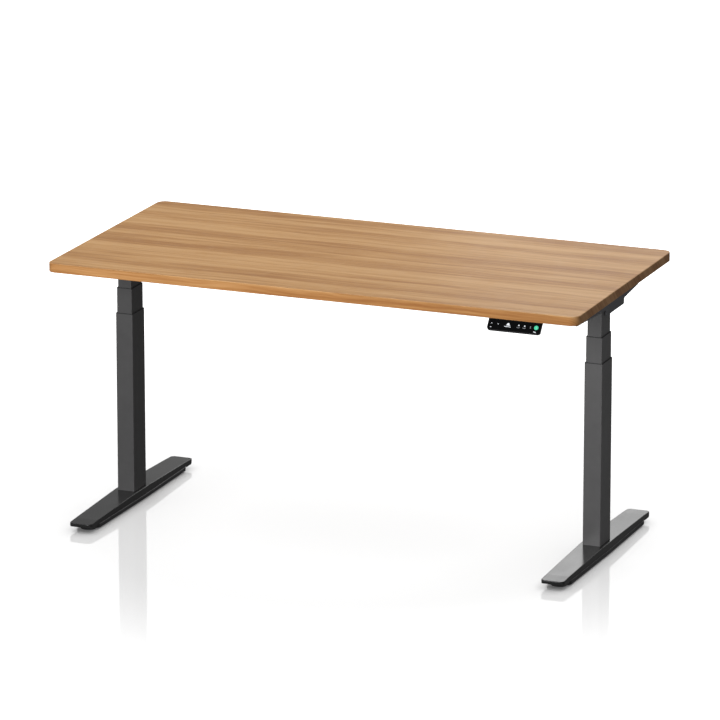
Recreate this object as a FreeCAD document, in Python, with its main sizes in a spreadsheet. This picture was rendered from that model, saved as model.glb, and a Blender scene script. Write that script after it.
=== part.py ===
import FreeCAD, Part
import math
import os
import Sketcher

# Height adjustable standing desk. Millimetres, +Z up, +X to the user's right when
# seated, -Y towards the user. The origin is on the floor, under the middle of the desk.

# ---------------------------------------------------------------- driving sizes
# One row of the sheet each: alias, value, what it measures.
SHEET_ROWS = [
    ("desk_width", 1500.0, "desktop along X"),
    ("desk_depth", 750.0, "desktop along Y"),
    ("desk_thick", 25.0, "desktop panel thickness"),
    ("desk_corner", 25.0, "desktop corner radius in plan"),
    ("desk_edge", 2.0, "rounding of the desktop's edges"),
    ("desk_top", 752.0, "height of the desktop's upper face"),
    ("leg_centre", 676.0, "column centre line from the desk's middle"),
    ("tube_wall", 2.0, "wall of all three column tubes"),
    ("lower_width", 50.0, "lower tube along X"),
    ("lower_depth", 80.0, "lower tube along Y"),
    ("lower_corner", 2.5, "lower tube outer corner radius"),
    ("lower_top", 537.0, "top of the lower tube's collar"),
    ("middle_width", 45.0, "middle tube along X"),
    ("middle_depth", 75.0, "middle tube along Y"),
    ("middle_corner", 2.4, "middle tube outer corner radius"),
    ("middle_bottom", 118.0, "lower end of the middle tube"),
    ("middle_top", 608.0, "top of the middle tube's collar"),
    ("upper_width", 40.0, "upper tube along X"),
    ("upper_depth", 70.0, "upper tube along Y"),
    ("upper_corner", 2.3, "upper tube outer corner radius"),
    ("upper_bottom", 218.0, "lower end of the upper tube"),
    ("upper_top", 690.0, "upper end of the upper tube"),
    ("collar_height", 1.6, "height of a tube's end collar"),
    ("slide_gap", 0.35, "gap between a collar and the tube that slides in it"),
    ("foot_half", 345.0, "half length of a foot"),
    ("foot_wide", 35.6, "half width of a foot at the column"),
    ("foot_narrow", 32.3, "half width of a foot towards its ends"),
    ("foot_straight", 300.0, "where a foot's taper ends"),
    ("foot_flat", 45.0, "half length of the flat that the column stands on"),
    ("foot_top", 35.4, "height of that flat"),
    ("foot_shoulder", 28.8, "top of a foot where its taper ends"),
    ("foot_tip_top", 26.5, "top of a foot at its tip"),
    ("foot_tip_low", 24.0, "lower edge of a foot's upright tip"),
    ("foot_bevel", 14.0, "how far the end wall under the tip leans in"),
    ("foot_end_low", 12.5, "underside of a foot beyond its tray"),
    ("foot_seam", 15.5, "height of the seam between foot shell and tray"),
    ("foot_skin", 2.5, "sheet thickness of the foot shell"),
    ("foot_corner", 12.0, "plan radius of a foot's tip corners"),
    ("foot_edge", 1.6, "rounding of a foot's top edge"),
    ("tray_low", 5.0, "underside of the foot tray"),
    ("tray_lip", 1.5, "how far the tray stands out beyond the shell"),
    ("tray_skin", 3.0, "tray wall and floor thickness"),
    ("tray_corner", 14.0, "plan radius of the tray's corners"),
    ("tray_edge", 1.2, "rounding of the tray's upper edge"),
    ("glide_place", 288.0, "levelling glide's distance from the column"),
    ("glide_radius", 21.5, "radius of a levelling glide's pad"),
    ("glide_thick", 4.6, "thickness of a levelling glide's pad"),
    ("glide_rim_low", 1.15, "lower edge of a glide pad's upright rim"),
    ("glide_rim_high", 2.4, "upper edge of a glide pad's upright rim"),
    ("glide_dome", 11.8, "radius of a glide pad's flat top"),
    ("glide_stem", 3.95, "radius of a glide's threaded stem"),
    ("glide_stem_top", 24.0, "upper end of a glide's stem"),
    ("glide_hole", 4.6, "radius of the stem's hole in the tray"),
    ("nut_radius", 8.0, "radius of a glide's insert nut"),
    ("nut_bore", 4.0, "thread radius of a glide's insert nut"),
    ("nut_top", 15.0, "top of a glide's insert nut"),
    ("plate_width", 56.0, "clamp plate in the foot, along X"),
    ("plate_depth", 88.0, "clamp plate in the foot, along Y"),
    ("plate_thick", 6.0, "clamp plate thickness"),
    ("block_thick", 12.0, "end block in the lower tube"),
    ("bolt_shank", 4.0, "foot bolt's shank radius"),
    ("bolt_hole", 4.3, "foot bolt's clearance hole radius"),
    ("bolt_head", 6.5, "foot bolt's head radius"),
    ("bolt_head_thick", 4.5, "foot bolt's head height"),
    ("bolt_span_x", 14.0, "foot bolts' half spacing along X"),
    ("bolt_span_y", 28.0, "foot bolts' half spacing along Y"),
    ("screw_radius", 6.0, "fixed lift screw radius"),
    ("screw_top", 440.0, "upper end of the fixed lift screw"),
    ("drive_radius", 11.5, "rotating drive tube outer radius"),
    ("drive_bore", 9.0, "rotating drive tube bore"),
    ("drive_bottom", 104.0, "lower end of the drive tube"),
    ("drive_top", 600.0, "upper end of the drive tube"),
    ("drive_nut_long", 28.0, "threaded length in the drive tube's lower end"),
    ("drive_flange", 15.0, "radius of the drive tube's thrust flange"),
    ("flange_low", 134.4, "underside of the thrust flange"),
    ("flange_thick", 4.0, "thickness of the thrust flange"),
    ("running_gap", 0.06, "radial clearance of a turning shaft"),
    ("block_low", 106.0, "underside of the bearing block"),
    ("block_top", 130.0, "top of the bearing block"),
    ("bearing_top", 134.0, "top of the thrust bearing"),
    ("bearing_radius", 15.5, "outer radius of the thrust bearing"),
    ("lift_nut_low", 206.0, "underside of the upper tube's lift nut"),
    ("lift_nut_top", 236.0, "top of the upper tube's lift nut"),
    ("hex_radius", 8.6, "hexagonal drive shaft, across its corners, half"),
    ("hex_bore", 6.4, "bore through the hexagonal drive shaft"),
    ("hex_bottom", 290.0, "lower end of the hexagonal drive shaft"),
    ("hex_top", 706.0, "upper end of the hexagonal drive shaft"),
    ("gearbox_width", 43.0, "gearbox along X"),
    ("gearbox_front", -36.0, "gearbox's front face"),
    ("gearbox_back", 46.0, "gearbox's rear face"),
    ("gearbox_top", 724.2, "gearbox's upper face"),
    ("gearbox_bore", 9.0, "gearbox output bore radius"),
    ("shaft_room", 2.0, "room above the hexagonal shaft in the gearbox"),
    ("motor_radius", 19.0, "motor can radius"),
    ("motor_axis", 694.0, "height of the motor's axis"),
    ("motor_back", 118.0, "rear end of the motor can"),
    ("motor_cap", 11.0, "radius of the motor's end bosses"),
    ("motor_boss", 3.0, "thickness of the motor's end bosses"),
    ("motor_edge", 2.0, "rounding of the motor can's ends"),
    ("cover_low", 661.3, "underside of the motor cover"),
    ("cover_top", 672.0, "rim of the motor cover"),
    ("cover_front", 36.5, "front face of the motor cover"),
    ("cover_back", 125.3, "rear face of the motor cover"),
    ("cover_skin", 2.0, "motor cover wall"),
    ("cover_gap", 0.3, "gap between the motor cover and the bracket's walls"),
    ("bracket_half", 25.0, "half width of a side bracket"),
    ("bracket_skin", 2.5, "side bracket sheet thickness"),
    ("bracket_reach", 300.0, "side bracket's reach to front and rear"),
    ("bracket_tip", 715.0, "lower edge of a side bracket at its ends"),
    ("bracket_knee", 240.0, "where a bracket's arms start to slope up faster"),
    ("bracket_front_knee", 689.8, "lower edge of the front arm there"),
    ("bracket_rear_knee", 687.2, "lower edge of the rear arm there"),
    ("bracket_front", 678.0, "lower edge of the front arm at its root"),
    ("bracket_rear", 676.5, "lower edge of the rear arm at its root"),
    ("bracket_deep", 661.0, "lower edge of the motor bay"),
    ("bay_front", -14.0, "front end of the motor bay"),
    ("bay_back", 128.0, "rear end of the motor bay"),
    ("bracket_round", 5.0, "rounding of the bracket's outline"),
    ("wood_screw_shank", 2.2, "wood screw shank radius"),
    ("wood_screw_head", 5.5, "wood screw head radius"),
    ("wood_screw_head_thick", 3.0, "wood screw head height"),
    ("wood_screw_bite", 16.0, "depth of a wood screw in the panel"),
    ("wood_screw_hole", 2.75, "clearance hole for a wood screw"),
    ("rail_place", 75.0, "cross rails' distance from the columns' line"),
    ("rail_width", 35.4, "cross rail along Y"),
    ("rail_height", 27.4, "cross rail along Z"),
    ("rail_wall", 2.0, "cross rail and rail sleeve wall"),
    ("rail_half", 560.0, "half length of a cross rail"),
    ("rail_mid", 706.0, "height of the cross rails' centre line"),
    ("rail_corner", 3.0, "cross rail's outer corner radius"),
    ("sleeve_width", 40.0, "rail sleeve along Y"),
    ("sleeve_height", 32.0, "rail sleeve along Z"),
    ("sleeve_end", 400.0, "inner end of a rail sleeve"),
    ("end_plate_thick", 4.0, "rail sleeves' end plate thickness"),
    ("end_plate_half", 110.0, "rail sleeves' end plate, half length"),
    ("end_plate_low", 686.0, "rail sleeves' end plate, lower edge"),
    ("rail_bolt_far", 104.0, "outer rail bolts' half spacing"),
    ("rail_bolt_near", 41.25, "inner rail bolts' half spacing"),
    ("rail_bolt_shank", 3.0, "rail bolt shank radius"),
    ("rail_bolt_head", 5.5, "rail bolt head radius"),
    ("rail_bolt_head_thick", 4.0, "rail bolt head height"),
    ("lock_inset", 20.0, "rail lock screws' distance from the sleeves' inner ends"),
    ("lock_radius", 2.9, "rail lock screw shank radius"),
    ("lock_head", 6.0, "rail lock screw head radius"),
    ("lock_head_thick", 4.5, "rail lock screw head height"),
    ("box_width", 260.0, "control box along X"),
    ("box_depth", 100.0, "control box along Y"),
    ("box_height", 36.0, "control box cover height"),
    ("box_place", 190.0, "control box centre, behind the desk's middle"),
    ("box_skin", 2.5, "control box cover wall"),
    ("box_corner", 6.0, "control box corner radius"),
    ("box_plate", 2.0, "control box mounting plate thickness"),
    ("box_plate_depth", 80.0, "control box mounting plate along Y"),
    ("box_ear", 12.0, "how far the mounting plate stands out at each end"),
    ("box_edge", 2.0, "rounding of the cover's lower edge"),
    ("port_gap", 0.3, "gap round a socket in the cover's opening"),
    ("board_thick", 1.6, "circuit board thickness"),
    ("board_mid", 706.0, "underside of the control board"),
    ("socket_width", 15.0, "cable socket width"),
    ("socket_height", 13.0, "cable socket height"),
    ("socket_deep", 16.0, "cable socket depth"),
    ("socket_pitch", 24.0, "distance between cable sockets"),
    ("socket_wall", 1.5, "wall of a cable socket"),
    ("socket_back", 3.0, "back of a cable socket or of the inlet"),
    ("inlet_width", 28.0, "mains inlet along Y"),
    ("inlet_height", 20.0, "mains inlet along Z"),
    ("inlet_deep", 18.0, "mains inlet depth"),
    ("inlet_wall", 2.5, "wall of the mains inlet"),
    ("panel_centre", 579.6, "control panel's centre along X"),
    ("panel_width", 146.0, "control panel width"),
    ("panel_slope", 31.2, "control panel height, measured down its face"),
    ("panel_tilt", 37.2, "control panel's lean from upright, degrees"),
    ("panel_top_y", -372.4, "control panel's upper edge"),
    ("panel_glass", 2.0, "control panel glass thickness"),
    ("panel_corner", 7.5, "control panel's lower corner radius"),
    ("panel_border", 0.6, "housing rim around the glass"),
    ("panel_gap", 1.6, "gap between the glass and the desktop, down the face"),
    ("panel_shell", 9.0, "depth of the housing's front shell, glass included"),
    ("panel_foot", 84.0, "width of the housing's mounting foot"),
    ("panel_back_y", -300.0, "rear end of the control panel housing"),
    ("panel_belly_y", -352.0, "where the foot's underside starts to rise"),
    ("panel_tail", 4.0, "housing thickness at its rear end"),
    ("panel_screw_x", 29.2, "panel screws' half spacing"),
    ("panel_screw_y", -312.0, "panel screws' place along Y"),
    ("panel_screw_sunk", 2.5, "height of a panel screw's head in its counterbore"),
    ("panel_slot", 3.0, "depth of the slot for the panel's circuit board"),
]


class Size:
    """A number that also keeps the spreadsheet formula that gives it."""

    def __init__(self, number, formula):
        self.number = number
        self.formula = formula

    def __add__(self, other):
        return join(self, "+", other, lambda a, b: a + b)

    def __radd__(self, other):
        return join(other, "+", self, lambda a, b: a + b)

    def __sub__(self, other):
        return join(self, "-", other, lambda a, b: a - b)

    def __rsub__(self, other):
        return join(other, "-", self, lambda a, b: a - b)

    def __mul__(self, other):
        return join(self, "*", other, lambda a, b: a * b)

    def __rmul__(self, other):
        return join(other, "*", self, lambda a, b: a * b)

    def __truediv__(self, other):
        return join(self, "/", other, lambda a, b: a / b)

    def __neg__(self):
        return join(-1.0, "*", self, lambda a, b: a * b)


def as_size(item):
    return item if isinstance(item, Size) else Size(float(item), repr(float(item)))


def join(left, sign, right, work):
    left = as_size(left)
    right = as_size(right)
    return Size(work(left.number, right.number), f"({left.formula} {sign} {right.formula})")


def sine(angle):
    return Size(math.sin(math.radians(angle.number)), f"sin({angle.formula} * 1deg)")


def cosine(angle):
    return Size(math.cos(math.radians(angle.number)), f"cos({angle.formula} * 1deg)")


class Sizes:
    """The sheet's aliases as attributes, each one a Size."""

    def __init__(self, doc):
        sheet = doc.addObject("Spreadsheet::Sheet", "Sizes")
        for row, (alias, value, note) in enumerate(SHEET_ROWS, start=1):
            sheet.set(f"A{row}", note)
            sheet.set(f"B{row}", str(value))
            sheet.setAlias(f"B{row}", alias)
            setattr(self, alias, Size(value, f"Sizes.{alias}"))
        doc.recompute()


doc = FreeCAD.newDocument("standing_desk")
size = Sizes(doc)
ZERO = as_size(0)
NODES = []


# ---------------------------------------------------------------- modelling helpers
def bind(item, prop, amount):
    item.setExpression(prop, as_size(amount).formula)


def new_body(name, place=(ZERO, ZERO, ZERO), several=False):
    """A sub-part. `several` lets it hold separate equal solids, as a set of screws."""
    body = doc.addObject("PartDesign::Body", name)
    body.Label = name
    body.AllowCompound = several
    for axis, amount in zip("xyz", place):
        bind(body, f"Placement.Base.{axis}", amount)
    NODES.append(body)
    return body


def origin_plane(body, role):
    return next(item for item in body.Origin.OriginFeatures if item.Role == role)


def new_sketch(body, role, offset=ZERO):
    """A sketch on one of the body's origin planes, moved along the plane's normal."""
    sketch = body.newObject("Sketcher::SketchObject", f"{body.Name}_sketch")
    sketch.AttachmentSupport = [(origin_plane(body, role), "")]
    sketch.MapMode = "FlatFace"
    bind(sketch, "AttachmentOffset.Base.z", offset)
    return sketch


def hold(sketch, kind, amount, *ends):
    """Adds one dimension to a sketch and binds it to the sheet."""
    index = sketch.addConstraint(Sketcher.Constraint(kind, *ends, amount.number))
    bind(sketch, f"Constraints[{index}]", amount)


def pin_point(sketch, edge, end, x, y):
    """Fixes a point of a sketch edge at x, y from the sketch's origin."""
    for kind, axis, amount in (("DistanceX", -2, as_size(x)), ("DistanceY", -1, as_size(y))):
        if amount.number == 0:
            sketch.addConstraint(Sketcher.Constraint("PointOnObject", edge, end, axis))
        else:
            hold(sketch, kind, amount, -1, 1, edge, end)


def polygon(sketch, corners):
    corners = [(as_size(x), as_size(y)) for x, y in corners]
    spots = [FreeCAD.Vector(x.number, y.number, 0) for x, y in corners]
    edges = [
        sketch.addGeometry(Part.LineSegment(spot, spots[(i + 1) % len(spots)]))
        for i, spot in enumerate(spots)
    ]
    for i, edge in enumerate(edges):
        following = edges[(i + 1) % len(edges)]
        sketch.addConstraint(Sketcher.Constraint("Coincident", edge, 2, following, 1))
    for edge, (x, y) in zip(edges, corners):
        pin_point(sketch, edge, 1, x, y)


def rectangle(sketch, x_low, x_high, y_low, y_high):
    polygon(sketch, [(x_low, y_low), (x_high, y_low), (x_high, y_high), (x_low, y_high)])


def circle(sketch, x, y, radius):
    centre = FreeCAD.Vector(as_size(x).number, as_size(y).number, 0)
    edge = sketch.addGeometry(Part.Circle(centre, FreeCAD.Vector(0, 0, 1), radius.number))
    hold(sketch, "Radius", radius, edge)
    pin_point(sketch, edge, 3, x, y)


def rounded_rectangle(sketch, width, depth, radius):
    """A rectangle with round corners, centred on the sketch's origin."""
    w = width.number / 2
    d = depth.number / 2
    r = radius.number
    up = FreeCAD.Vector(0, 0, 1)
    lines = []
    arcs = []
    for turn in range(4):
        sx, sy = ((1, -1), (1, 1), (-1, 1), (-1, -1))[turn]
        start = turn * math.pi / 2 - math.pi / 2
        spot = FreeCAD.Vector(sx * (w - r), sy * (d - r), 0)
        corner = Part.ArcOfCircle(Part.Circle(spot, up, r), start, start + math.pi / 2)
        arcs.append(sketch.addGeometry(corner))
    ends = [
        ((w, r - d), (w, d - r)),
        ((w - r, d), (r - w, d)),
        ((-w, d - r), (-w, r - d)),
        ((r - w, -d), (w - r, -d)),
    ]
    for (x0, y0), (x1, y1) in ends:
        side = Part.LineSegment(FreeCAD.Vector(x0, y0, 0), FreeCAD.Vector(x1, y1, 0))
        lines.append(sketch.addGeometry(side))
    rules = []
    for i in range(4):
        rules.append(Sketcher.Constraint("Tangent", arcs[i], 2, lines[i], 1))
        rules.append(Sketcher.Constraint("Tangent", lines[i], 2, arcs[(i + 1) % 4], 1))
        rules.append(Sketcher.Constraint("Vertical" if i % 2 == 0 else "Horizontal", lines[i]))
    rules += [Sketcher.Constraint("Equal", arcs[0], arcs[i]) for i in (1, 2, 3)]
    rules.append(Sketcher.Constraint("Symmetric", arcs[0], 3, arcs[2], 3, -1, 1))
    sketch.addConstraint(rules)
    hold(sketch, "Radius", radius, arcs[0])
    hold(sketch, "DistanceX", width, lines[2], 1, lines[0], 1)
    hold(sketch, "DistanceY", depth, lines[3], 1, lines[1], 1)


def extrude(body, kind, sketch, length=None, middle=False, reverse=False):
    """Pads or pockets a sketch; no length means through all."""
    before = body.Shape.Volume if kind == "Pocket" else 0
    feature = body.newObject(f"PartDesign::{kind}", f"{body.Name}_{kind.lower()}")
    feature.Profile = sketch
    feature.Midplane = middle
    feature.Reversed = reverse
    if length is None:
        feature.Type = "ThroughAll"
    else:
        bind(feature, "Length", length)
    body.Tip = feature
    doc.recompute()
    if kind == "Pocket" and feature.Shape.Volume >= before - 1e-6:
        raise ValueError(f"{feature.Name} removes nothing")
    return feature


def pad(body, sketch, length, middle=False, reverse=False):
    return extrude(body, "Pad", sketch, length, middle, reverse)


def pocket(body, sketch, length=None, middle=False, reverse=False):
    """Cuts against the sketch's normal unless reversed."""
    return extrude(body, "Pocket", sketch, length, middle, reverse)


def round_edges(body, radius, wanted, kind="Fillet"):
    """Fillets or chamfers the tip's edges whose middle point passes the test."""
    base = body.Tip
    names = [
        f"Edge{i}"
        for i, edge in enumerate(base.Shape.Edges, start=1)
        if wanted(edge, edge.CenterOfMass)
    ]
    feature = body.newObject(f"PartDesign::{kind}", f"{body.Name}_{kind.lower()}")
    feature.Base = (base, names)
    bind(feature, "Radius" if kind == "Fillet" else "Size", radius)
    body.Tip = feature
    doc.recompute()
    return feature


def is_upright(edge):
    box = edge.BoundBox
    return box.ZLength > 1 and box.XLength < 0.01 and box.YLength < 0.01


def hollow_pad(body, outer, inner, length, low=ZERO):
    """A tube or ring standing on the XY plane: two rounded rectangles, padded up."""
    sketch = new_sketch(body, "XY_Plane", low)
    rounded_rectangle(sketch, *outer)
    rounded_rectangle(sketch, *inner)
    return pad(body, sketch, length)


def disc(body, radius, low, high, spots=((0, 0),)):
    sketch = new_sketch(body, "XY_Plane", low)
    for x, y in spots:
        circle(sketch, x, y, radius)
    return pad(body, sketch, as_size(high) - low)


def bore(body, radius, low, high=None, spots=((0, 0),)):
    """Round holes upward from `low`, through all or up to `high`."""
    sketch = new_sketch(body, "XY_Plane", low)
    for x, y in spots:
        circle(sketch, x, y, radius)
    depth = None if high is None else as_size(high) - low
    return pocket(body, sketch, depth, reverse=True)


SIDES = (("left", -1), ("right", 1))
desk_low = size.desk_top - size.desk_thick


# ---------------------------------------------------------------- feet
# A foot is a pressed steel shell with a sloping top, closed from below by a shallow
# tray that stands out a little all round and takes the two levelling glides.
bolt_spots = [(size.bolt_span_x * i, size.bolt_span_y * j) for i in (-1, 1) for j in (-1, 1)]


def foot_shell(name, centre):
    body = new_body(name, (centre, ZERO, ZERO))
    wide = size.foot_wide
    narrow = size.foot_narrow
    straight = size.foot_straight
    half = size.foot_half
    outline = new_sketch(body, "XY_Plane", size.foot_end_low)
    quarter = [(wide, 0), (narrow, straight), (narrow, half)]
    rear_left = [(-x, y) for x, y in reversed(quarter)]
    front_left = [(-x, -y) for x, y in quarter[1:]]
    front_right = [(x, -y) for x, y in reversed(quarter[1:])]
    polygon(outline, quarter + rear_left + front_left + front_right)
    pad(body, outline, size.foot_top - size.foot_end_low)
    tip = size.foot_half.number
    round_edges(body, size.foot_corner, lambda e, c: is_upright(e) and abs(abs(c.y) - tip) < 0.1)
    beyond = half + size.foot_corner
    right_across = wide * 3
    for end in (-1, 1):
        slopes = new_sketch(body, "YZ_Plane")
        polygon(slopes, [
            (size.foot_flat * end, size.foot_top),
            (straight * end, size.foot_shoulder),
            (half * end, size.foot_tip_top),
            (beyond * end, size.foot_tip_top),
            (beyond * end, size.foot_top),
        ])
        pocket(body, slopes, right_across, middle=True)
        under_tip = new_sketch(body, "YZ_Plane")
        polygon(under_tip, [
            (half * end, size.foot_tip_low),
            ((half - size.foot_bevel) * end, size.foot_end_low),
            (beyond * end, size.foot_end_low),
            (beyond * end, size.foot_tip_low),
        ])
        pocket(body, under_tip, right_across, middle=True)
    over_tray = new_sketch(body, "YZ_Plane")
    tray_room = straight + size.slide_gap
    rectangle(over_tray, -tray_room, tray_room, size.foot_end_low, size.foot_seam)
    pocket(body, over_tray, right_across, middle=True)
    low_top = size.foot_tip_top.number - 0.1
    inside_edge = narrow.number - size.foot_corner.number
    round_edges(body, size.foot_edge, lambda e, c: c.z > low_top and not is_upright(e)
                and (abs(c.x) > inside_edge or abs(c.y) > tip - 1))
    hollow = new_sketch(body, "YZ_Plane")
    inner_end = half - size.foot_bevel - size.foot_skin * 1.5
    polygon(hollow, [
        (-inner_end, 0),
        (inner_end, 0),
        (inner_end, size.foot_tip_top - size.foot_skin),
        (size.foot_flat, size.foot_top - size.foot_skin),
        (-size.foot_flat, size.foot_top - size.foot_skin),
        (-inner_end, size.foot_tip_top - size.foot_skin),
    ])
    pocket(body, hollow, (size.foot_narrow - size.foot_skin) * 2, middle=True)
    bore(body, size.bolt_hole, ZERO, None, bolt_spots)
    return body


def foot_tray(name, centre):
    body = new_body(name, (centre, ZERO, ZERO))
    outline = new_sketch(body, "XY_Plane", size.tray_low)
    wide = size.foot_wide + size.tray_lip
    narrow = size.foot_narrow + size.tray_lip
    end = size.foot_straight
    polygon(outline, [(wide, 0), (narrow, end), (-narrow, end), (-wide, 0), (-narrow, -end), (narrow, -end)])
    pad(body, outline, size.foot_seam - size.tray_low)
    round_edges(body, size.tray_corner, lambda e, c: is_upright(e) and abs(c.y) > 10)
    seam = size.foot_seam.number
    round_edges(body, size.tray_edge, lambda e, c: abs(c.z - seam) < 0.01)
    hollow = new_sketch(body, "XY_Plane", size.tray_low + size.tray_skin)
    skin = size.tray_skin
    polygon(hollow, [
        (wide - skin, 0),
        (narrow - skin, end - skin),
        (skin - narrow, end - skin),
        (skin - wide, 0),
        (skin - narrow, skin - end),
        (narrow - skin, skin - end),
    ])
    pocket(body, hollow, reverse=True)
    bore(body, size.glide_hole, ZERO, None, [(0, size.glide_place), (0, -size.glide_place)])
    return body


def levelling_glide(name, centre, place):
    """Round pad with a threaded stem, turned as one piece."""
    body = new_body(name, (centre, place, ZERO))
    section = new_sketch(body, "XZ_Plane")
    radius = size.glide_radius
    polygon(section, [
        (0, 0),
        (radius - 1, 0),
        (radius, size.glide_rim_low),
        (radius, size.glide_rim_high),
        (size.glide_dome, size.glide_thick),
        (size.glide_stem, size.glide_thick),
        (size.glide_stem, size.glide_stem_top - 1),
        (size.glide_stem - 0.8, size.glide_stem_top),
        (0, size.glide_stem_top),
    ])
    turned = body.newObject("PartDesign::Revolution", f"{name}_turned")
    turned.Profile = section
    turned.ReferenceAxis = (section, ["V_Axis"])
    turned.Angle = 360
    body.Tip = turned
    doc.recompute()
    return body


def clamp_plate(name, centre):
    body = new_body(name, (centre, ZERO, ZERO))
    top = size.foot_top - size.foot_skin
    sketch = new_sketch(body, "XY_Plane", top - size.plate_thick)
    rounded_rectangle(sketch, size.plate_width, size.plate_depth, size.lower_corner)
    pad(body, sketch, size.plate_thick)
    bore(body, size.bolt_hole, ZERO, None, bolt_spots)


def tube_end_block(name, centre):
    """Steel block welded into the lower tube: takes the foot bolts and the fixed screw."""
    body = new_body(name, (centre, ZERO, ZERO))
    sketch = new_sketch(body, "XY_Plane", size.foot_top)
    inner_width = size.lower_width - size.tube_wall * 2
    inner_depth = size.lower_depth - size.tube_wall * 2
    rounded_rectangle(sketch, inner_width, inner_depth, size.lower_corner - size.tube_wall)
    pad(body, sketch, size.block_thick)
    bore(body, size.bolt_shank, ZERO, None, bolt_spots)


for side_name, side in SIDES:
    centre = size.leg_centre * side
    foot_shell(f"foot_shell_{side_name}", centre)
    foot_tray(f"foot_tray_{side_name}", centre)
    clamp_plate(f"foot_clamp_plate_{side_name}", centre)
    tube_end_block(f"tube_end_block_{side_name}", centre)
    levelling_glide(f"levelling_glide_front_{side_name}", centre, -size.glide_place)
    levelling_glide(f"levelling_glide_rear_{side_name}", centre, size.glide_place)

# Eight M8 bolts hold the columns on the feet; their heads are inside the feet.
leg_spots = [(size.leg_centre * side + x, y) for _, side in SIDES for x, y in bolt_spots]
clamp_low = size.foot_top - size.foot_skin - size.plate_thick
foot_bolts = new_body("foot_bolts", several=True)
disc(foot_bolts, size.bolt_head, clamp_low - size.bolt_head_thick, clamp_low, leg_spots)
disc(foot_bolts, size.bolt_shank, clamp_low, size.foot_top + size.block_thick, leg_spots)

# Four insert nuts stand on the trays' floors and carry the glides.
nut_spots = [(size.leg_centre * side, size.glide_place * end) for _, side in SIDES for end in (-1, 1)]
glide_nuts = new_body("levelling_nuts", several=True)
tray_floor = size.tray_low + size.tray_skin
disc(glide_nuts, size.nut_radius, tray_floor, size.nut_top, nut_spots)
bore(glide_nuts, size.nut_bore, ZERO, None, nut_spots)


# ---------------------------------------------------------------- columns
# Each column is three steel tubes, one inside the other, with the widest at the bottom.
def column_tube(name, centre, width, depth, corner, low, high):
    body = new_body(name, (centre, ZERO, ZERO))
    wall = size.tube_wall
    inner = (width - wall * 2, depth - wall * 2, corner - wall)
    hollow_pad(body, (width, depth, corner), inner, as_size(high) - low, low)


def end_collar(name, centre, outer, sliding, top):
    """Plastic ring on a tube's upper end, which guides the tube that slides in it."""
    width, depth, corner = outer
    body = new_body(name, (centre, ZERO, ZERO))
    gap = size.slide_gap * 2
    inner = (sliding[0] + gap, sliding[1] + gap, sliding[2])
    hollow_pad(body, (width, depth, corner), inner, size.collar_height, top - size.collar_height)


lower = (size.lower_width, size.lower_depth, size.lower_corner)
middle = (size.middle_width, size.middle_depth, size.middle_corner)
upper = (size.upper_width, size.upper_depth, size.upper_corner)
for side_name, side in SIDES:
    centre = size.leg_centre * side
    lower_end = size.lower_top - size.collar_height
    middle_end = size.middle_top - size.collar_height
    column_tube(f"lower_tube_{side_name}", centre, *lower, size.foot_top, lower_end)
    column_tube(f"middle_tube_{side_name}", centre, *middle, size.middle_bottom, middle_end)
    column_tube(f"upper_tube_{side_name}", centre, *upper, size.upper_bottom, size.upper_top)
    end_collar(f"lower_collar_{side_name}", centre, lower, middle, size.lower_top)
    end_collar(f"middle_collar_{side_name}", centre, middle, upper, size.middle_top)


# ---------------------------------------------------------------- lift drive
# A screw stands fixed in the lower tube. A threaded drive tube turns on it, held by a
# bearing block in the middle tube, and lifts that tube. The drive tube's own outer
# thread lifts a nut in the upper tube. A hexagonal shaft from the gearbox turns it.
def stepped_block(name, centre, tube, low, shoulder, high, hole):
    """A block with a shoulder that seats on the tube's lower end, bored along Z."""
    body = new_body(name, (centre, ZERO, ZERO))
    width, depth, corner = tube
    wall = size.tube_wall
    seat = new_sketch(body, "XY_Plane", low)
    rounded_rectangle(seat, width, depth, corner)
    pad(body, seat, as_size(shoulder) - low)
    plug = new_sketch(body, "XY_Plane", shoulder)
    rounded_rectangle(plug, width - wall * 2, depth - wall * 2, corner - wall)
    pad(body, plug, as_size(high) - shoulder)
    bore(body, hole, ZERO)


for side_name, side in SIDES:
    centre = size.leg_centre * side
    turning = size.drive_radius + size.running_gap

    fixed_screw = new_body(f"fixed_screw_{side_name}", (centre, ZERO, ZERO))
    disc(fixed_screw, size.screw_radius, size.foot_top + size.block_thick, size.screw_top)

    stepped_block(f"bearing_block_{side_name}", centre, middle, size.block_low, size.middle_bottom,
                  size.block_top, turning)
    stepped_block(f"lift_nut_{side_name}", centre, upper, size.lift_nut_low, size.upper_bottom,
                  size.lift_nut_top, turning)

    bearing = new_body(f"thrust_bearing_{side_name}", (centre, ZERO, ZERO))
    disc(bearing, size.bearing_radius, size.block_top, size.bearing_top)
    bore(bearing, turning, ZERO)

    drive = new_body(f"drive_tube_{side_name}", (centre, ZERO, ZERO))
    disc(drive, size.drive_radius, size.drive_bottom, size.drive_top)
    disc(drive, size.drive_flange, size.flange_low, size.flange_low + size.flange_thick)
    bore(drive, size.screw_radius + size.running_gap, ZERO)
    bore(drive, size.drive_bore, size.drive_bottom + size.drive_nut_long)

    hexagon = new_body(f"hex_shaft_{side_name}", (centre, ZERO, ZERO))
    section = new_sketch(hexagon, "XY_Plane", size.hex_bottom)
    half_flat = size.hex_radius * (math.sqrt(3) / 2)
    half_edge = size.hex_radius / 2
    polygon(section, [
        (size.hex_radius, 0),
        (half_edge, half_flat),
        (-half_edge, half_flat),
        (-size.hex_radius, 0),
        (-half_edge, -half_flat),
        (half_edge, -half_flat),
    ])
    pad(hexagon, section, size.hex_top - size.hex_bottom)
    bore(hexagon, size.hex_bore, ZERO)


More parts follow.
